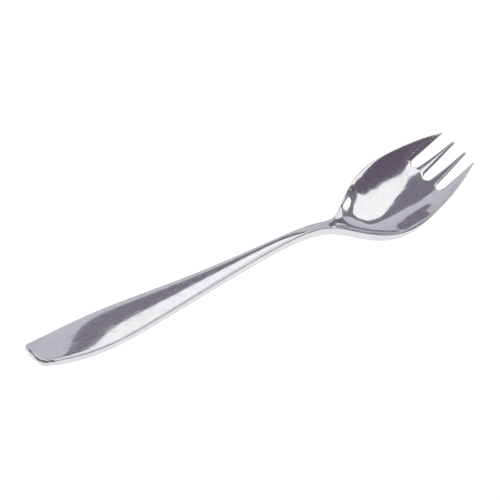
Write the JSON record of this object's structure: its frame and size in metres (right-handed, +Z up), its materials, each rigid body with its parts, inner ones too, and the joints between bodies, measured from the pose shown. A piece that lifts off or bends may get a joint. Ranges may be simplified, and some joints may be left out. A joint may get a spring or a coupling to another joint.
{
  "type": "oyster fork",
  "caption": "Short polished steel oyster fork with a spoon-like hollow bowl, slotted front tines and a plain tapering handle with a rounded square end.",
  "frame": {"origin": "on the table plane, under the middle of the fork's length and width as it lies hollow side up", "axes": "+X from the handle end to the tine tips, +Y to the left, +Z up out of the bowl"},
  "size_m": [0.15, 0.0318, 0.0172],
  "materials": {
    "polished_steel": "polished"
  },
  "bodies": {
    "root": {"handle": "polished_steel", "neck": "polished_steel", "bowl": "polished_steel", "left_outer_tine": "polished_steel", "left_inner_tine": "polished_steel", "right_inner_tine": "polished_steel", "right_outer_tine": "polished_steel"}
  },
  "joints": []
}
